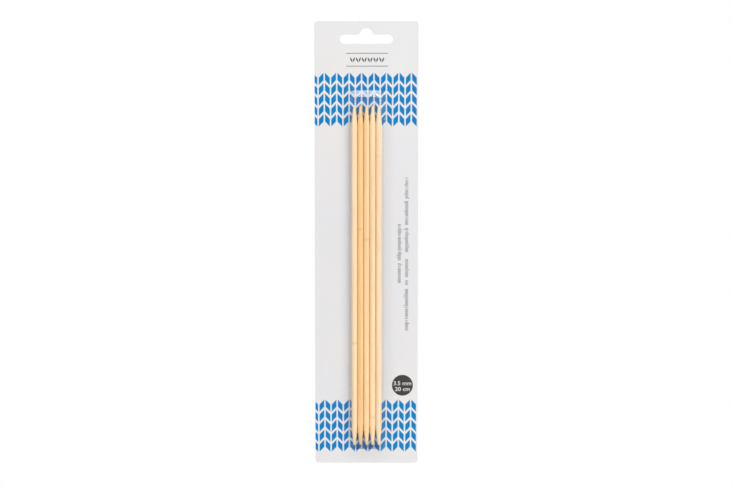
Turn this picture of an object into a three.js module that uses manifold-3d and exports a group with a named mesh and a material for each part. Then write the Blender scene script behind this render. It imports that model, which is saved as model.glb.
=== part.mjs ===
// Five double pointed bamboo knitting needles in their hanging pack: a printed card with a euro slot,
// and a clear thermoformed blister that is heat-sealed to the card's face and holds the loose needles.
// Millimetres, +Z up. The card's face looks towards -Y. The origin is the crown of the euro slot, where
// a shop peg carries the pack, in the middle of the card's thickness.

import * as THREE from 'three';
import { mergeVertices } from 'three/addons/utils/BufferGeometryUtils.js';
import Module from 'manifold-3d';

// Needles
const needleCount = 5;
const needleDiameter = 3.5;
const needleLength = 200;
const tipRadius = 0.6;
const coneAngle = THREE.MathUtils.degToRad( 8 ); // between the cone's side and the needle's axis
const coneBlend = 4; // length over which the cone runs out into the shank
const needleGap = 0.07; // between neighbouring needles
const needleSides = 24;

// Card
const cardWidth = 60.5;
const cardThickness = 0.5;
const cardCornerRadius = 2;

// Euro slot
const slotWidth = 31;
const slotHeight = 5.5;
const crownRadius = 3.9;
const crownRise = 3.7; // of the crown above the slot's straight upper edge
const slotFillet = 1; // where the crown runs into the slot's upper edge
const crownToCardTop = 3.9;

// Blister
const filmThickness = 0.3;
const sealFilm = 0.02; // heat-seal lacquer between the flange and the card
const flangeWidth = 4.5;
const flangeCornerRadius = 4;
const pocketCornerRadius = 2.6;
const sideDraft = THREE.MathUtils.degToRad( 10 ); // lean of the pocket's long walls
const endDraft = THREE.MathUtils.degToRad( 45 ); // slope of its two ends
const pocketEdgeRadius = 1.2; // of the pocket's front edges, outside
const cardBelowPocket = 8; // card left below the pocket
const cardAbovePocket = 39.9; // and above it, for the slot and the print

// Room for the needles in the pocket
const needleTravel = 6.2; // up from the pocket's lower end
const endClearance = 0.2; // between a tip and the pocket's end at each end of its travel
const sideRoom = 1.3; // beside the bundle, at the pocket's foot
const frontRoom = 0.7; // between a needle and the pocket's front
const backClearance = 0.1; // between a needle and the card
const bundleOffset = 0.1; // of the bundle to the right of the pocket's middle

// Steps in a quarter circle of each outline
const plateSteps = 8;
const pocketSteps = 5;
const tipSteps = 4;

// Places that follow from the sizes above
const cardFace = - cardThickness / 2;
const flangeBack = cardFace - sealFilm;

const needleRadius = needleDiameter / 2;
const needlePitch = needleDiameter + needleGap;
const needleAxisY = cardFace - backClearance - needleRadius;
const bundleWidth = needleCount * needleDiameter + ( needleCount - 1 ) * needleGap;

const pocketDepth = backClearance + needleDiameter + frontRoom - sealFilm; // inside, from the flange's back
const tipHeight = backClearance + needleRadius + tipRadius - sealFilm; // of a tip's foremost point
const tipToFoot = endClearance + tipHeight * Math.tan( endDraft ); // along Z, to the end's foot
const pocketInnerWidth = bundleWidth + 2 * sideRoom;
const pocketInnerLength = needleLength + needleTravel + 2 * tipToFoot;
const pocketOuterWidth = pocketInnerWidth + 2 * filmThickness;
const pocketOuterLength = pocketInnerLength + 2 * filmThickness;

const cardHeight = cardBelowPocket + pocketOuterLength + cardAbovePocket;
const cardTop = crownToCardTop;
const cardBottom = cardTop - cardHeight;
const pocketMiddleZ = cardBottom + cardBelowPocket + pocketOuterLength / 2;
const needleBottomZ = pocketMiddleZ - pocketInnerLength / 2 + tipToFoot;

const wasm = await Module();
wasm.setup();

// A closed geometry as a solid that can be joined and cut.
function toSolid( geometry ) {

	const bare = geometry.clone();
	bare.deleteAttribute( 'normal' );
	bare.deleteAttribute( 'uv' );
	const merged = mergeVertices( bare, 1e-4 );
	return new wasm.Manifold( new wasm.Mesh( {
		numProp: 3,
		vertProperties: merged.attributes.position.array,
		triVerts: new Uint32Array( merged.index.array ),
	} ) );

}

function toGeometry( solid ) {

	const { numVert, numProp, vertProperties, triVerts } = solid.getMesh();
	const positions = new Float32Array( numVert * 3 );
	for ( let i = 0; i < numVert; i ++ ) {

		positions.set( vertProperties.subarray( i * numProp, i * numProp + 3 ), i * 3 );

	}

	const geometry = new THREE.BufferGeometry();
	geometry.setAttribute( 'position', new THREE.BufferAttribute( positions, 3 ) );
	geometry.setIndex( new THREE.BufferAttribute( triVerts, 1 ) );
	geometry.computeVertexNormals();
	return geometry;

}

// A rectangle with round corners, centred on the origin.
function roundedRectangle( width, height, radius ) {

	const x = width / 2 - radius;
	const y = height / 2 - radius;
	const shape = new THREE.Shape();
	shape.absarc( x, - y, radius, - Math.PI / 2, 0 );
	shape.absarc( x, y, radius, 0, Math.PI / 2 );
	shape.absarc( - x, y, radius, Math.PI / 2, Math.PI );
	shape.absarc( - x, - y, radius, Math.PI, Math.PI * 1.5 );
	shape.closePath();
	return shape;

}

// A plate drawn face on: the shape's X and Y become X and Z, and it grows towards -Y from backY.
function plate( shape, thickness, backY ) {

	const geometry = new THREE.ExtrudeGeometry( shape, {
		depth: thickness,
		bevelEnabled: false,
		curveSegments: plateSteps,
	} );
	return geometry.rotateX( Math.PI / 2 ).translate( 0, backY, 0 );

}

// The euro slot: a slot with round ends and a round crown above its middle, the crown's top on the origin.
function euroSlot() {

	const end = slotHeight / 2;
	const upperEdge = - crownRise;
	const middle = upperEdge - end;
	const crownCentre = - crownRadius;
	const filletY = upperEdge + slotFillet;
	const filletX = Math.sqrt( ( crownRadius + slotFillet ) ** 2 - ( filletY - crownCentre ) ** 2 );
	const meet = Math.atan2( filletY - crownCentre, filletX ); // where the fillet touches the crown

	const slot = new THREE.Path();
	slot.absarc( slotWidth / 2 - end, middle, end, - Math.PI / 2, Math.PI / 2 );
	slot.absarc( filletX, filletY, slotFillet, - Math.PI / 2, meet - Math.PI, true );
	slot.absarc( 0, crownCentre, crownRadius, meet, Math.PI - meet );
	slot.absarc( - filletX, filletY, slotFillet, - meet, - Math.PI / 2, true );
	slot.absarc( end - slotWidth / 2, middle, end, Math.PI / 2, Math.PI * 1.5 );
	slot.closePath();
	return slot;

}

function cardGeometry() {

	const middleZ = ( cardTop + cardBottom ) / 2;
	const outline = new THREE.Shape(
		roundedRectangle( cardWidth, cardHeight, cardCornerRadius )
			.getPoints( plateSteps )
			.map( ( p ) => p.add( new THREE.Vector2( 0, middleZ ) ) ),
	);
	outline.holes.push( euroSlot() );
	return plate( outline, cardThickness, cardThickness / 2 );

}

// A drafted box with round corners and a round front edge, centred on the pocket. Its foot lies at footY,
// it stands `depth` in front of that, and it reaches `behind` behind it.
function pocketForm( width, length, cornerRadius, edgeRadius, footY, depth, behind ) {

	const geometry = new THREE.ExtrudeGeometry( roundedRectangle( width, length, cornerRadius ), {
		depth: depth + behind - edgeRadius,
		bevelEnabled: true,
		bevelThickness: edgeRadius,
		bevelSize: edgeRadius,
		bevelOffset: - edgeRadius,
		bevelSegments: pocketSteps,
		curveSegments: pocketSteps,
	} );
	const points = geometry.attributes.position;
	for ( let i = 0; i < points.count; i ++ ) {

		const x = points.getX( i );
		const y = points.getY( i );
		const height = points.getZ( i ) - behind; // in front of the foot, and negative behind it
		points.setX( i, x - Math.sign( x ) * height * Math.tan( sideDraft ) );
		points.setY( i, y - Math.sign( y ) * height * Math.tan( endDraft ) );

	}

	return geometry.rotateX( Math.PI / 2 ).translate( 0, footY + behind, pocketMiddleZ );

}

// Everything in front of a plane that looks towards -Y.
function inFrontOf( y ) {

	const size = 2 * cardHeight;
	return toSolid( new THREE.BoxGeometry( size, size, size ).translate( 0, y - size / 2, pocketMiddleZ ) );

}

function blisterGeometry() {

	const behind = 2 * pocketEdgeRadius; // keeps the form's rounded back edge out of the blister
	const flange = toSolid( plate(
		roundedRectangle(
			pocketOuterWidth + 2 * flangeWidth,
			pocketOuterLength + 2 * flangeWidth,
			flangeCornerRadius,
		),
		filmThickness,
		flangeBack,
	).translate( 0, 0, pocketMiddleZ ) );
	const outside = toSolid( pocketForm(
		pocketOuterWidth,
		pocketOuterLength,
		pocketCornerRadius + filmThickness,
		pocketEdgeRadius,
		flangeBack,
		pocketDepth + filmThickness,
		behind,
	) );
	const inside = toSolid( pocketForm(
		pocketInnerWidth,
		pocketInnerLength,
		pocketCornerRadius,
		pocketEdgeRadius - filmThickness,
		flangeBack,
		pocketDepth,
		behind,
	) );
	const shell = flange.add( outside.intersect( inFrontOf( flangeBack ) ) ).subtract( inside );
	return toGeometry( shell );

}

// One needle standing on its lower tip: both ends are a round tip, a cone, and a soft run into the shank.
function needleGeometry() {

	const coneX = tipRadius * Math.cos( coneAngle ); // where the cone leaves the round tip
	const coneY = tipRadius * ( 1 - Math.sin( coneAngle ) );
	const coneEnd = coneY + ( needleRadius - coneX ) / Math.tan( coneAngle ); // run on to the full radius
	const tip = new THREE.Path();
	tip.absarc( 0, tipRadius, tipRadius, - Math.PI / 2, - coneAngle );
	tip.quadraticCurveTo( needleRadius, coneEnd, needleRadius, coneEnd + coneBlend );
	const lower = tip.getPoints( tipSteps );
	lower[ 0 ].x = 0; // exactly on the axis
	const upper = lower.map( ( p ) => new THREE.Vector2( p.x, needleLength - p.y ) ).reverse();
	return new THREE.LatheGeometry( [ ...lower, ...upper ], needleSides ).rotateX( Math.PI / 2 );

}

const board = new THREE.MeshStandardMaterial( { color: 0xe7e6e9, roughness: 0.55, metalness: 0 } );
const clearFilm = new THREE.MeshStandardMaterial( {
	color: 0xf2f6fa,
	roughness: 0.08,
	metalness: 0,
	transparent: true,
	opacity: 0.22,
} );
const bamboo = new THREE.MeshStandardMaterial( { color: 0xf6d29c, roughness: 0.5, metalness: 0 } );

const pack = new THREE.Group();

const card = new THREE.Mesh( cardGeometry(), board );
card.name = 'backing_card';
pack.add( card );

const blister = new THREE.Mesh( blisterGeometry(), clearFilm );
blister.name = 'blister';
pack.add( blister );

const needleShape = needleGeometry();
for ( let i = 0; i < needleCount; i ++ ) {

	const needle = new THREE.Mesh( needleShape, bamboo );
	const needleX = bundleOffset + ( i - ( needleCount - 1 ) / 2 ) * needlePitch;
	needle.name = `needle_${ i + 1 }`;
	needle.position.set( needleX, needleAxisY, needleBottomZ );
	pack.add( needle );

}

export default pack;
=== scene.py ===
import math
import random

import bmesh
import bpy
from mathutils import Matrix, Vector


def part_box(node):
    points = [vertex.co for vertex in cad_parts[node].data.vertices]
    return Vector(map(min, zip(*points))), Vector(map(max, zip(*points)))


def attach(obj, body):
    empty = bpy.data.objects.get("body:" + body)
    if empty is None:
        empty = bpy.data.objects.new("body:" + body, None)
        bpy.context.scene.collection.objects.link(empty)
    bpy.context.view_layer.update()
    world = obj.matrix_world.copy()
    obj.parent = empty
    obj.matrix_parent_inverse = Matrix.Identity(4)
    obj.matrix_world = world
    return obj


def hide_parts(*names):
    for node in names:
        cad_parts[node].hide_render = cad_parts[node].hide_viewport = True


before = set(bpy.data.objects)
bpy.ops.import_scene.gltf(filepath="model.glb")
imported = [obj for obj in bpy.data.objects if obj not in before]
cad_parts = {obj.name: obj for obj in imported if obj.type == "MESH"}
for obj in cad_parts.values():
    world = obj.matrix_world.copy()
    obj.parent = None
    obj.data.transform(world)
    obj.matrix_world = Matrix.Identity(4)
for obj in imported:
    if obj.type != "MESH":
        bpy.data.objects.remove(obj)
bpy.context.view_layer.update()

mm = 0.001
cardLow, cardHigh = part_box("backing_card")
filmLow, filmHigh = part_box("blister")
cardMiddle = (cardLow + cardHigh) / 2
cardFaceY = cardLow.y  # the printed face looks towards -Y
needleNames = sorted(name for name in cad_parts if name.startswith("needle_"))


# Small helpers for meshes

def finishPiece(name, bm, materials, body, smoothAngle=None):
    mesh = bpy.data.meshes.new(name)
    bm.to_mesh(mesh)
    bm.free()
    piece = bpy.data.objects.new(name, mesh)
    bpy.context.scene.collection.objects.link(piece)
    for material in materials:
        mesh.materials.append(material)
    if smoothAngle is not None:
        mesh.shade_smooth()
        mesh.set_sharp_from_angle(angle=math.radians(smoothAngle))
    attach(piece, body)
    return piece


def laySquare(bm, x, z, across, up, y):
    # a unit square in the plane of the card, facing -Y, its sides stretched to across and up
    place = Matrix((
        (across[0], up[0], 0, x),
        (0, 0, -1, y),
        (across[1], up[1], 0, z),
        (0, 0, 0, 1),
    ))
    return bmesh.ops.create_grid(bm, x_segments=1, y_segments=1, size=0.5, matrix=place)["verts"]


def layRounded(bm, x, z, width, height, radius, y, steps=8):
    corners = laySquare(bm, x, z, (width, 0), (0, height), y)
    bmesh.ops.bevel(bm, geom=corners, offset=radius, segments=steps, affect="VERTICES",
                    profile=0.5, material=-1)


def heightOnCard(height):
    return cardLow.z + height


# Small helpers for materials

def newMaterial(name):
    material = bpy.data.materials.new(name)
    material.use_nodes = True
    material.node_tree.nodes.clear()
    return material, material.node_tree


def put(tree, kind, values=None, **settings):
    node = tree.nodes.new("ShaderNode" + kind)
    for key, value in settings.items():
        setattr(node, key, value)
    for key, value in (values or {}).items():
        node.inputs[key].default_value = value
    return node


def wire(tree, source, output, target, socket):
    tree.links.new(source.outputs[output], target.inputs[socket])


def objectPlace(tree, centre=(0, 0, 0)):
    place = put(tree, "TexCoord")
    shift = put(tree, "VectorMath", {1: centre}, operation="SUBTRACT")
    wire(tree, place, "Object", shift, 0)
    return shift


def noiseOn(tree, place, scale, detail=3.0, roughness=0.55):
    # scale is one number, or one for each axis, in waves per metre
    node = place
    if isinstance(scale, tuple):
        node = put(tree, "VectorMath", {1: scale}, operation="MULTIPLY")
        wire(tree, place, 0, node, 0)
        scale = 1.0
    noise = put(tree, "TexNoise", {"Scale": scale, "Detail": detail, "Roughness": roughness})
    wire(tree, node, 0, noise, "Vector")
    return noise


def ramp(tree, source, output, stops):
    node = put(tree, "ValToRGB")
    elements = node.color_ramp.elements
    while len(elements) < len(stops):
        elements.new(0.5)
    for element, (position, colour) in zip(elements, stops):
        element.position = position
        element.color = (*colour, 1.0)
    wire(tree, source, output, node, "Fac")
    return node


def level(value):
    return (value, value, value)


def mixColours(tree, kind, factor, first, second):
    # each of the three is a plain value or a (node, output) pair
    node = put(tree, "Mix", data_type="RGBA", blend_type=kind)
    for socket, value in ((0, factor), (6, first), (7, second)):
        if isinstance(value, tuple) and isinstance(value[0], bpy.types.Node):
            wire(tree, value[0], value[1], node, socket)
        elif isinstance(value, tuple):
            node.inputs[socket].default_value = (*value, 1.0)
        else:
            node.inputs[socket].default_value = value
    return node


def bumpFrom(tree, source, output, distance, strength=1.0):
    bump = put(tree, "Bump", {"Strength": strength, "Distance": distance})
    wire(tree, source, output, bump, "Height")
    return bump


def surface(tree, values, base=None, roughness=None, normal=None):
    shader = put(tree, "BsdfPrincipled", values)
    for source, socket in ((base, "Base Color"), (roughness, "Roughness"), (normal, "Normal")):
        if source:
            wire(tree, source[0], source[1], shader, socket)
    output = put(tree, "OutputMaterial")
    wire(tree, shader, "BSDF", output, "Surface")
    return shader


# The card: one sheet of coated board, grey-white on the face and bare on the back

boardLooks = {
    "faceCool": (0.675, 0.672, 0.692),
    "faceWarm": (0.70, 0.682, 0.675),
    "backLight": (0.72, 0.70, 0.66),
    "backDark": (0.64, 0.62, 0.58),
    "core": (0.66, 0.62, 0.55),
    "edgeRound": 0.06 * mm,
}


def coatedFace():
    material, tree = newMaterial("coatedFace")
    place = objectPlace(tree)
    cloud = noiseOn(tree, place, 22.0, detail=2.0)  # tint that drifts over some 45 mm
    tint = ramp(tree, cloud, "Fac", [(0.35, boardLooks["faceCool"]), (0.68, boardLooks["faceWarm"])])
    grain = noiseOn(tree, place, 2200.0, detail=4.0)  # the coat follows the paper under it
    fleck = ramp(tree, grain, "Fac", [(0.25, level(0.972)), (0.6, level(1.0))])
    base = mixColours(tree, "MULTIPLY", 1.0, (tint, 0), (fleck, 0))
    rough = ramp(tree, grain, "Fac", [(0.3, level(0.36)), (0.7, level(0.5))])
    bump = bumpFrom(tree, grain, "Fac", 0.006 * mm)
    surface(tree, {"IOR": 1.48}, (base, 2), (rough, 0), (bump, 0))
    return material


def bareBack():
    material, tree = newMaterial("bareBack")
    place = objectPlace(tree)
    cloud = noiseOn(tree, place, 60.0, detail=3.0)
    fibres = noiseOn(tree, place, (900.0, 900.0, 3200.0), detail=5.0, roughness=0.7)
    flecks = noiseOn(tree, place, (5200.0, 5200.0, 1500.0), detail=2.0)
    tone = ramp(tree, fibres, "Fac", [(0.3, boardLooks["backDark"]), (0.62, boardLooks["backLight"])])
    drift = ramp(tree, cloud, "Fac", [(0.3, level(0.95)), (0.7, level(1.0))])
    spots = ramp(tree, flecks, "Fac", [(0.68, level(1.0)), (0.76, (0.78, 0.74, 0.68))])
    base = mixColours(tree, "MULTIPLY", 1.0, (tone, 0), (drift, 0))
    base = mixColours(tree, "MULTIPLY", 1.0, (base, 2), (spots, 0))
    rough = ramp(tree, fibres, "Fac", [(0.3, level(0.78)), (0.7, level(0.92))])
    bump = bumpFrom(tree, fibres, "Fac", 0.02 * mm)
    surface(tree, {"Specular IOR Level": 0.3}, (base, 2), (rough, 0), (bump, 0))
    return material


def cutEdge():
    material, tree = newMaterial("cutEdge")
    place = objectPlace(tree)
    layers = noiseOn(tree, place, (1400.0, 16000.0, 1400.0), detail=3.0)  # plies across the thickness
    tone = ramp(tree, layers, "Fac", [(0.3, tuple(0.86 * c for c in boardLooks["core"])),
                                      (0.6, boardLooks["core"])])
    bump = bumpFrom(tree, layers, "Fac", 0.015 * mm)
    surface(tree, {"Roughness": 0.9, "Specular IOR Level": 0.3}, (tone, 0), None, (bump, 0))
    return material


def makeCard():
    bm = bmesh.new()
    bm.from_mesh(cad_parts["backing_card"].data)
    bmesh.ops.remove_doubles(bm, verts=bm.verts, dist=0.001 * mm)
    bmesh.ops.dissolve_limit(bm, angle_limit=math.radians(1), verts=bm.verts, edges=bm.edges)
    rim = [edge for edge in bm.edges if edge.calc_face_angle(0) > math.radians(45)]
    bmesh.ops.bevel(bm, geom=rim, offset=boardLooks["edgeRound"], segments=2, affect="EDGES",
                    profile=0.5, material=-1)
    for face in bm.faces:
        if abs(face.normal.y) > 0.99:
            face.material_index = 0 if face.normal.y < 0 else 1
        else:
            face.material_index = 2
    card = finishPiece("cardBoard", bm, [coatedFace(), bareBack(), cutEdge()], "pack")
    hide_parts("backing_card")
    return card


# The print: inks lie on the face as films a few microns thick

ink = {
    "proud": 0.005 * mm,
    "sunk": 0.004 * mm,
    "blue": (0.003, 0.207, 0.52),
    "grey": (0.10, 0.10, 0.105),
    "paleGrey": (0.075, 0.075, 0.08),
    "darkGrey": (0.055, 0.052, 0.053),
    "white": (0.72, 0.72, 0.72),
}
inkY = cardFaceY - ink["proud"]


def inkFilm(name, colour, density=0.9):
    material, tree = newMaterial(name)
    place = objectPlace(tree)
    grain = noiseOn(tree, place, 2600.0, detail=3.0)  # the press leaves a faint mottle
    drift = noiseOn(tree, place, 90.0, detail=2.0)
    mottle = ramp(tree, grain, "Fac", [(0.3, level(density)), (0.65, level(1.0))])
    fade = ramp(tree, drift, "Fac", [(0.3, level(0.95)), (0.7, level(1.0))])
    base = mixColours(tree, "MULTIPLY", 1.0, colour, (mottle, 0))
    base = mixColours(tree, "MULTIPLY", 1.0, (base, 2), (fade, 0))
    rough = ramp(tree, grain, "Fac", [(0.3, level(0.34)), (0.7, level(0.46))])
    bump = bumpFrom(tree, grain, "Fac", 0.004 * mm)
    surface(tree, {"Specular IOR Level": 0.1}, (base, 2), (rough, 0), (bump, 0))
    return material


def finishInk(name, bm, material):
    bmesh.ops.solidify(bm, geom=bm.faces[:], thickness=ink["proud"] + ink["sunk"])
    piece = finishPiece(name, bm, [material], "pack")
    return piece


knitBands = {
    "feet": (6.6 * mm, 198.95 * mm),  # lowest points of the two bands above the card's lower edge
    "rows": 5,
    "rowPitch": 6.0 * mm,
    "legPitch": 3.625 * mm,  # half a stitch
    "legWidth": 2.75 * mm,
    "legSide": 4.35 * mm,  # its upright sides
    "legRise": 2.9 * mm,  # from the foot of the stitch to its shoulder
    "cornerRound": 0.12 * mm,
    "firstFoot": 0.8 * mm,  # a stitch's foot to the right of the card's middle
}


def printBands():
    looks = knitBands
    bm = bmesh.new()
    halfWidth = (cardHigh.x - cardLow.x) / 2 - boardLooks["edgeRound"]
    reach = math.ceil(halfWidth / looks["legPitch"]) + 1
    legHeight = looks["legSide"] + looks["legRise"]
    for foot in looks["feet"]:
        for row in range(looks["rows"]):
            middle = heightOnCard(foot + row * looks["rowPitch"] + legHeight / 2)
            for leg in range(-reach, reach + 1):
                rise = looks["legRise"] if leg % 2 == 0 else -looks["legRise"]
                x = cardMiddle.x + looks["firstFoot"] + (leg + 0.5) * looks["legPitch"]
                corners = laySquare(bm, x, middle, (looks["legWidth"], rise), (0, looks["legSide"]), inkY)
                bmesh.ops.bevel(bm, geom=corners, offset=looks["cornerRound"], segments=2,
                                affect="VERTICES", profile=0.5, material=-1)
    for side in (-1, 1):
        edge = Vector((cardMiddle.x + side * halfWidth, 0, 0))
        bmesh.ops.bisect_plane(bm, geom=bm.verts[:] + bm.edges[:] + bm.faces[:], plane_co=edge,
                               plane_no=(side, 0, 0), clear_outer=True)
    return finishInk("knitBands", bm, inkFilm("blueInk", ink["blue"]))


mark = {
    "middle": (0.4 * mm, 237.7 * mm),  # right of the card's middle, above its lower edge
    "width": 24.4 * mm,
    "height": 7.8 * mm,
    "rule": 0.36 * mm,
    "stitches": 6,
    "stitchPitch": 3.4 * mm,
    "legWidth": 1.1 * mm,
    "legSide": 1.7 * mm,
    "legRise": 1.6 * mm,
    "gap": 0.45 * mm,
}


def printMark():
    # a plain row of knit stitches between two rules
    looks = mark
    bm = bmesh.new()
    x0 = cardMiddle.x + looks["middle"][0]
    z0 = heightOnCard(looks["middle"][1])
    for side in (-1, 1):
        laySquare(bm, x0, z0 + side * (looks["height"] - looks["rule"]) / 2,
                  (looks["width"], 0), (0, looks["rule"]), inkY)
    for stitch in range(looks["stitches"]):
        foot = x0 + (stitch - (looks["stitches"] - 1) / 2) * looks["stitchPitch"]
        for side in (-1, 1):
            x = foot + side * (looks["legWidth"] + looks["gap"]) / 2
            laySquare(bm, x, z0, (looks["legWidth"], side * looks["legRise"]), (0, looks["legSide"]), inkY)
    return finishInk("knitMark", bm, inkFilm("greyInk", ink["grey"]))


copyLines = {
    # greeked copy that runs up the card: where each line starts, then its words and the gaps after them
    "lines": (
        (24.5 * mm, 79.0 * mm, ((24.8, 2.2), (2.9, 1.6), (10.9, 4.0), (14.4, 1.6), (14.1, 1.3), (12.8, 0))),
        (20.2 * mm, 107.1 * mm, ((11.8, 1.6), (21.5, 0))),
    ),
    "letterPitch": 1.3 * mm,
    "stroke": 0.28 * mm,
    "body": 1.75 * mm,
    "tall": 0.8 * mm,  # how far a tall stroke or a tail passes the body
    "seed": 4,
}


def printCopy():
    looks = copyLines
    rng = random.Random(looks["seed"])
    bm = bmesh.new()
    for baseline, start, words in looks["lines"]:
        height = start
        for word, gap in words:
            letters = round(word * mm / looks["letterPitch"])
            pitch = word * mm / letters
            for letter in range(letters):
                kind = rng.choice(("plain", "plain", "plain", "single", "tall", "tail"))
                strokes = (0.5,) if kind == "single" else (0.22, 0.72)
                for order, share in enumerate(strokes):
                    low = looks["tall"] if kind == "tail" and order == 0 else 0.0
                    high = looks["body"] + (looks["tall"] if kind == "tall" and order == 0 else 0.0)
                    x = cardMiddle.x + baseline - (high - low) / 2
                    z = heightOnCard(height + (letter + share) * pitch)
                    laySquare(bm, x, z, (high + low, 0), (0, looks["stroke"]), inkY)
            height += (word + gap) * mm
    return finishInk("copyLines", bm, inkFilm("paleGreyInk", ink["paleGrey"]))


sizeDisc = {
    "middle": (21.3 * mm, 46.4 * mm),
    "across": 12.4 * mm,
    "lines": (("3.5 mm", 0.05 * mm, 10.5 * mm), ("20 cm", -3.4 * mm, 8.8 * mm)),  # words, baseline, width
    "digitHeight": 2.4 * mm,
    "weight": 0.012,
    "lift": 0.003 * mm,
}


def printDisc():
    looks = sizeDisc
    x0 = cardMiddle.x + looks["middle"][0]
    z0 = heightOnCard(looks["middle"][1])
    bm = bmesh.new()
    place = Matrix.Translation((x0, inkY, z0)) @ Matrix.Rotation(math.radians(90), 4, "X")
    bmesh.ops.create_circle(bm, cap_ends=True, segments=72, radius=looks["across"] / 2, matrix=place)
    finishInk("sizeDisc", bm, inkFilm("darkGreyInk", ink["darkGrey"]))

    bm = bmesh.new()
    for words, baseline, width in looks["lines"]:
        curve = bpy.data.curves.new("figures", "FONT")
        curve.body = words
        curve.align_x = "CENTER"
        curve.size = 1.0
        curve.offset = looks["weight"]
        curve.resolution_u = 4
        holder = bpy.data.objects.new("figures", curve)
        bpy.context.scene.collection.objects.link(holder)
        bpy.context.view_layer.update()
        mesh = bpy.data.meshes.new_from_object(holder.evaluated_get(bpy.context.evaluated_depsgraph_get()))
        bpy.data.objects.remove(holder)
        xs = [v.co.x for v in mesh.vertices]
        ys = [v.co.y for v in mesh.vertices]
        stretch = width / (max(xs) - min(xs))
        tall = looks["digitHeight"] / (max(ys) - min(ys))
        turn = Matrix((
            (stretch, 0, 0, x0 - stretch * (max(xs) + min(xs)) / 2),
            (0, 0, -1, inkY - looks["lift"]),
            (0, tall, 0, z0 + baseline),
            (0, 0, 0, 1),
        ))
        mesh.transform(turn)
        bm.from_mesh(mesh)
        bpy.data.meshes.remove(mesh)
    bmesh.ops.remove_doubles(bm, verts=bm.verts, dist=0.002 * mm)
    finishInk("sizeFigures", bm, inkFilm("whiteInk", ink["white"], density=0.97))


# The blister: one film of clear plastic, drawn into a pocket with a flat flange round it

film = {
    "thickness": 0.3 * mm,
    "flangeWidth": 4.5 * mm,
    "flangeCorner": 4.0 * mm,
    "pocketCorner": 2.9 * mm,
    "sideDraft": math.radians(10),
    "endDraft": math.radians(45),
    "frontRound": 1.25 * mm,
    "footRound": 0.5 * mm,
    "cornerSteps": 8,
    "frontInset": 0.5 * mm,  # a loop that keeps the flat front flat beside its round edge
    "faceSlack": 0.05 * mm,  # for telling the flange's faces from the pocket's
    "glossLow": 0.022,  # share mirrored straight on
    "glossRise": 0.3,  # and what it gains towards the edges
    "glossPower": 4.0,
    "ripple": 0.15 * mm,
}
filmLooks = {
    # light let through straight on, light let through at its edges, share of the gloss, roughness
    "clearFilm": ((0.995, 0.997, 0.998), (0.99, 0.988, 0.984), 1.0, 0.08),
    "sealedFilm": ((0.995, 0.997, 0.998), (0.99, 0.988, 0.984), 0.36, 0.08),
    "upperEndPaintedShadeAndHighlight": ((0.80, 0.82, 0.85), (0.76, 0.78, 0.81), 3.2, 0.3),  # painted shade and painted highlight: this copy of the same film is tinted darker and mirrors over three times as much
    # painted shade: this copy of the same film is tinted darker and mirrors a little less
    "lowerEndPaintedShade": ((0.80, 0.83, 0.86), (0.76, 0.79, 0.82), 0.8, 0.12),
}


def sealedBack():
    # the flange's back is welded to the card, so no light is turned back there
    material, tree = newMaterial("sealedBack")
    clear = put(tree, "BsdfTransparent", {"Color": (*filmLooks["clearFilm"][0], 1.0)})
    output = put(tree, "OutputMaterial")
    wire(tree, clear, 0, output, "Surface")
    return material


def clearFilm(name):
    tint, edgeTint, gloss, roughness = filmLooks[name]
    material, tree = newMaterial(name)
    place = objectPlace(tree)
    waves = noiseOn(tree, place, (130.0, 130.0, 34.0), detail=2.0)  # the film isn't drawn quite flat
    ripple = bumpFrom(tree, waves, "Fac", film["ripple"])
    facing = put(tree, "LayerWeight", {"Blend": 0.5})
    steep = put(tree, "Math", {1: film["glossPower"]}, operation="POWER")
    wire(tree, facing, "Facing", steep, 0)
    share = put(tree, "Math", {1: gloss * film["glossRise"], 2: gloss * film["glossLow"]},
                operation="MULTIPLY_ADD")
    wire(tree, steep, 0, share, 0)
    through = ramp(tree, facing, "Facing", [(0.3, tint), (0.9, edgeTint)])
    clear = put(tree, "BsdfTransparent")
    wire(tree, through, 0, clear, "Color")
    shine = put(tree, "BsdfGlossy", {"Roughness": roughness})
    wire(tree, ripple, 0, shine, "Normal")
    both = put(tree, "MixShader")
    wire(tree, share, 0, both, 0)
    wire(tree, clear, 0, both, 1)
    wire(tree, shine, 0, both, 2)
    output = put(tree, "OutputMaterial")
    wire(tree, both, 0, output, "Surface")
    return material


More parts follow.
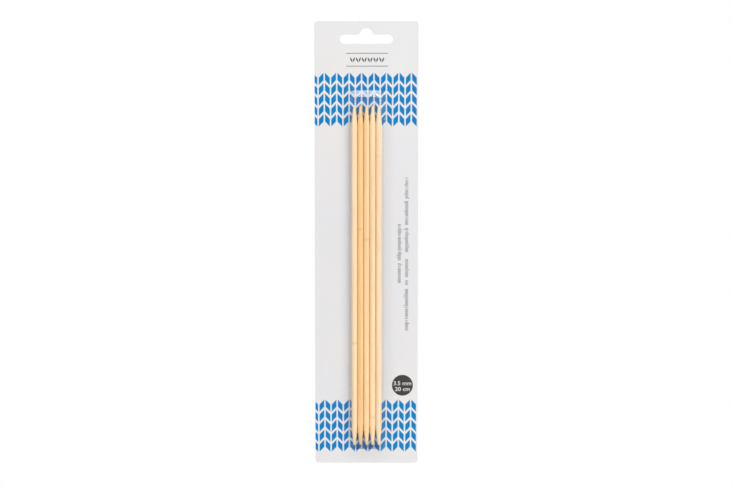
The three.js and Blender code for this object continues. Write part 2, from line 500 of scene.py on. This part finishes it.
def formBlister():
    looks = film
    flangeY = filmHigh.y - looks["thickness"]  # front of the flange
    depth = flangeY - filmLow.y
    x0 = (filmLow.x + filmHigh.x) / 2
    z0 = (filmLow.z + filmHigh.z) / 2
    width = filmHigh.x - filmLow.x
    length = filmHigh.z - filmLow.z
    bm = bmesh.new()
    layRounded(bm, x0, z0, width, length, looks["flangeCorner"], flangeY, looks["cornerSteps"])
    rim = bm.edges[:]
    layRounded(bm, x0, z0, width - 2 * looks["flangeWidth"], length - 2 * looks["flangeWidth"],
               looks["pocketCorner"], flangeY, looks["cornerSteps"])
    foot = [edge for edge in bm.edges if edge not in rim]
    bmesh.ops.delete(bm, geom=bm.faces[:], context="FACES_ONLY")
    bmesh.ops.bridge_loops(bm, edges=rim + foot)
    mouth = bmesh.ops.holes_fill(bm, edges=foot, sides=0)["faces"]
    drawn = bmesh.ops.extrude_face_region(bm, geom=mouth)["geom"]
    front = [item for item in drawn if isinstance(item, bmesh.types.BMVert)]
    for vert in front:
        vert.co.y -= depth
        vert.co.x -= math.copysign(depth * math.tan(looks["sideDraft"]), vert.co.x - x0)
        vert.co.z -= math.copysign(depth * math.tan(looks["endDraft"]), vert.co.z - z0)
    bmesh.ops.delete(bm, geom=mouth, context="FACES_ONLY")
    brow = [edge for edge in bm.edges if all(vert in front for vert in edge.verts)]
    foot = [edge for edge in foot if edge.is_valid]
    bmesh.ops.bevel(bm, geom=brow, offset=looks["frontRound"], segments=7, affect="EDGES",
                    profile=0.5, material=-1)
    foot = [edge for edge in foot if edge.is_valid]
    bmesh.ops.bevel(bm, geom=foot, offset=looks["footRound"], segments=4, affect="EDGES",
                    profile=0.5, material=-1)
    bmesh.ops.recalc_face_normals(bm, faces=bm.faces[:])
    if sum(face.normal.y * face.calc_area() for face in bm.faces) > 0:
        bmesh.ops.reverse_faces(bm, faces=bm.faces[:])
    plain = max(bm.faces, key=lambda face: face.calc_area())
    bmesh.ops.inset_region(bm, faces=[plain], thickness=looks["frontInset"], use_even_offset=True)
    bmesh.ops.solidify(bm, geom=bm.faces[:], thickness=looks["thickness"])
    for face in bm.faces:
        y = face.calc_center_median().y
        if y > filmHigh.y - looks["faceSlack"]:
            face.material_index = 1
        elif abs(face.normal.y) > 0.99 and y > flangeY - looks["faceSlack"]:
            face.material_index = 2
        # the end slopes take their own copies of the film: darker tints as painted shade, more gloss at the
        # upper end as a painted highlight
        elif 0.6 < abs(face.normal.z) < 0.8 and abs(face.normal.x) < 0.1:
            face.material_index = 3 if face.calc_center_median().z > z0 else 4
    materials = [
        clearFilm("clearFilm"),
        sealedBack(),
        clearFilm("sealedFilm"),
        clearFilm("upperEndPaintedShadeAndHighlight"),
        clearFilm("lowerEndPaintedShade"),
    ]
    piece = finishPiece("blisterFilm", bm, materials, "pack", smoothAngle=35)
    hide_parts("blister")
    return piece


# The needles: turned bamboo, one length each, pointed at both ends

needleShape = {
    "tipRadius": 0.6 * mm,
    "coneAngle": math.radians(8),
    "coneBlend": 4.0 * mm,  # the cone runs out into the shank over this length
    "tipSteps": 7,
    "blendSteps": 14,
    "sides": 48,
}
needleLooks = {
    # light wood, dark wood, where along the needle a node of the cane lies, and its strength
    "needle_1": ((0.96, 0.73, 0.46), (0.86, 0.60, 0.33), 61 * mm, 0.3),
    "needle_2": ((0.93, 0.61, 0.27), (0.82, 0.48, 0.18), 128 * mm, 0.2),
    "needle_3": ((0.95, 0.68, 0.36), (0.86, 0.57, 0.27), 122 * mm, 0.3),
    "needle_4": ((0.97, 0.72, 0.44), (0.88, 0.60, 0.32), 17 * mm, 0.2),
    "needle_5": ((0.95, 0.72, 0.48), (0.85, 0.60, 0.36), 171 * mm, 0.2),
}


def bamboo(name):
    light, dark, nodePlace, nodeStrength = needleLooks[name]
    low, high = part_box(name)
    middle = (low + high) / 2
    order = needleNames.index(name)
    material, tree = newMaterial("bamboo" + name[-1])
    place = objectPlace(tree, (middle.x + 0.011 * (order + 1), middle.y, low.z - 0.31 * order))
    fibres = noiseOn(tree, place, (4200.0, 4200.0, 55.0), detail=4.0, roughness=0.6)  # 0.2 by 20 mm
    bands = noiseOn(tree, place, (620.0, 620.0, 9.0), detail=2.0)
    pores = noiseOn(tree, place, (7600.0, 7600.0, 240.0), detail=1.0)
    bright = tuple(min(1, 1.05 * c) for c in light)
    wood = ramp(tree, fibres, "Fac", [(0.34, dark), (0.52, light), (0.72, bright)])
    tone = ramp(tree, bands, "Fac", [(0.32, (0.90, 0.86, 0.80)), (0.6, level(1.0))])
    base = mixColours(tree, "MULTIPLY", 0.8, (wood, 0), (tone, 0))
    specks = ramp(tree, pores, "Fac", [(0.66, level(0.0)), (0.76, level(0.55))])
    base = mixColours(tree, "MIX", (specks, 0), (base, 2), tuple(0.62 * c for c in dark))
    if nodeStrength:
        wobble = noiseOn(tree, place, 700.0, detail=2.0)
        along = put(tree, "SeparateXYZ")
        wire(tree, place, 0, along, 0)
        ringPlace = nodePlace + 0.31 * order
        bent = put(tree, "Math", {1: 2.4 * mm, 2: -ringPlace - 1.2 * mm}, operation="MULTIPLY_ADD")
        wire(tree, wobble, "Fac", bent, 0)
        offset = put(tree, "Math", operation="ADD")
        wire(tree, along, "Z", offset, 0)
        wire(tree, bent, 0, offset, 1)
        away = put(tree, "Math", operation="ABSOLUTE")
        wire(tree, offset, 0, away, 0)
        fade = {"From Min": 0.25 * mm, "From Max": 1.1 * mm, "To Min": nodeStrength, "To Max": 0.0}
        ring = put(tree, "MapRange", fade, interpolation_type="SMOOTHSTEP")
        wire(tree, away, 0, ring, "Value")
        base = mixColours(tree, "MIX", (ring, 0), (base, 2), tuple(0.6 * c for c in dark))
    rough = ramp(tree, fibres, "Fac", [(0.3, level(0.6)), (0.7, level(0.42))])
    bump = bumpFrom(tree, fibres, "Fac", 0.012 * mm)
    surface(tree, {"IOR": 1.5}, (base, 2), (rough, 0), (bump, 0))
    return material


def needleOutline(length, radius):
    # half of the needle's outline from a tip to its middle, as (radius, height)
    looks = needleShape
    angle = looks["coneAngle"]
    tip = looks["tipRadius"]
    points = []
    for step in range(looks["tipSteps"] + 1):
        turn = (math.pi / 2 - angle) * step / looks["tipSteps"]
        points.append((tip * math.sin(turn), tip * (1 - math.cos(turn))))
    startX, startZ = points[-1]
    kneeZ = startZ + (radius - startX) / math.tan(angle)
    endZ = kneeZ + looks["coneBlend"]
    for step in range(1, looks["blendSteps"] + 1):
        t = step / looks["blendSteps"]
        x = (1 - t) ** 2 * startX + (1 - (1 - t) ** 2) * radius
        z = (1 - t) ** 2 * startZ + 2 * t * (1 - t) * kneeZ + t ** 2 * endZ
        points.append((x, z))
    lower = points + [(radius, endZ + (length / 2 - endZ) * share) for share in (0.33, 0.67)]
    return lower + [(radius, length / 2)] + [(x, length - z) for x, z in reversed(lower)]


def turnNeedle(name):
    low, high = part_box(name)
    radius = (high.x - low.x) / 2
    bm = bmesh.new()
    chain = [bm.verts.new((x, 0, z)) for x, z in needleOutline(high.z - low.z, radius)]
    edges = [bm.edges.new(pair) for pair in zip(chain, chain[1:])]
    bmesh.ops.spin(bm, geom=chain + edges, cent=(0, 0, 0), axis=(0, 0, 1), angle=2 * math.pi,
                   steps=needleShape["sides"], use_merge=True)
    bmesh.ops.remove_doubles(bm, verts=bm.verts, dist=0.001 * mm)
    bmesh.ops.recalc_face_normals(bm, faces=bm.faces[:])
    bmesh.ops.translate(bm, verts=bm.verts, vec=((low.x + high.x) / 2, (low.y + high.y) / 2, low.z))
    piece = finishPiece("bambooNeedle" + name[-1], bm, [bamboo(name)], name, smoothAngle=40)
    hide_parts(name)
    return piece


# The studio: white all round, with soft lamps above, at both sides and behind the card

studio = {
    "skyLight": 0.5,
    "floorDrop": 120 * mm,  # below the card, which hangs
    "floorSize": 0.78,
    "floorTone": level(0.85),
    "cameraDistance": 0.8,
    "cameraRise": math.radians(4),
    "aimLeft": 0.25 * mm,
    "aimRise": 0.5 * mm,
    "lens": 66.98,
}
lamps = {
    # place counted from the card's middle, width and height of the softbox, power in watts
    "keyLight": ((0.72, -0.86, 0.35), (0.6, 0.6), 6.9),
    "fillLight": ((-0.9, -0.75, 0.65), (1.2, 0.9), 3.0),
    "topLight": ((0.0, -0.2, 0.95), (0.75, 0.45), 6.5),
    "rearLight": ((-0.5, 0.9, 0.5), (0.8, 0.8), 5.0),
}


def lightStudio():
    world = bpy.data.worlds.new("studioWhite")
    bpy.context.scene.world = world
    world.use_nodes = True
    tree = world.node_tree
    tree.nodes.clear()
    sky = put(tree, "Background", {"Color": (1, 1, 1, 1), "Strength": studio["skyLight"]})
    backdrop = put(tree, "Background", {"Color": (1, 1, 1, 1), "Strength": 1.0})
    rays = put(tree, "LightPath")
    bright = put(tree, "Math", operation="MAXIMUM")  # the backdrop is seen, and mirrored in gloss
    wire(tree, rays, "Is Camera Ray", bright, 0)
    wire(tree, rays, "Is Glossy Ray", bright, 1)
    choose = put(tree, "MixShader")
    wire(tree, bright, 0, choose, 0)
    wire(tree, sky, 0, choose, 1)
    wire(tree, backdrop, 0, choose, 2)
    output = put(tree, "OutputWorld")
    wire(tree, choose, 0, output, "Surface")
    for name, (place, size, power) in lamps.items():
        lamp = bpy.data.lights.new(name, "AREA")
        lamp.shape = "RECTANGLE"
        lamp.size, lamp.size_y = size
        lamp.energy = power
        holder = bpy.data.objects.new(name, lamp)
        bpy.context.scene.collection.objects.link(holder)
        holder.location = cardMiddle + Vector(place)
        holder.rotation_euler = (-Vector(place)).to_track_quat("-Z", "Y").to_euler()


def layFloor():
    material, tree = newMaterial("paleFloor")
    surface(tree, {"Base Color": (*studio["floorTone"], 1.0), "Roughness": 0.9})
    bm = bmesh.new()
    bmesh.ops.create_grid(bm, x_segments=1, y_segments=1, size=studio["floorSize"] / 2)
    mesh = bpy.data.meshes.new("paleFloor")
    bm.to_mesh(mesh)
    bm.free()
    mesh.transform(Matrix.Translation((0, 0, cardLow.z - studio["floorDrop"])))
    mesh.materials.append(material)
    floor = bpy.data.objects.new("paleFloor", mesh)
    bpy.context.scene.collection.objects.link(floor)


def placeCamera():
    camera = bpy.data.cameras.new("view")
    camera.sensor_width = 36.0
    camera.lens = studio["lens"]
    camera.clip_start = 0.01
    camera.clip_end = 50.0
    holder = bpy.data.objects.new("view", camera)
    bpy.context.scene.collection.objects.link(holder)
    rise = studio["cameraRise"]
    back = Vector((0, -math.cos(rise), math.sin(rise)))
    aim = Vector((cardMiddle.x - studio["aimLeft"], cardFaceY, cardMiddle.z + studio["aimRise"]))
    holder.location = aim + back * studio["cameraDistance"]
    holder.rotation_euler = (-back).to_track_quat("-Z", "Y").to_euler()
    bpy.context.scene.camera = holder


bpy.context.scene.view_settings.view_transform = "Standard"
placeCamera()
lightStudio()
layFloor()
print("studio ready")
makeCard()
print("card ready")
printBands()
printMark()
printCopy()
printDisc()
print("print ready")
formBlister()
print("blister ready")
for needleName in needleNames:
    turnNeedle(needleName)
print("needles ready")
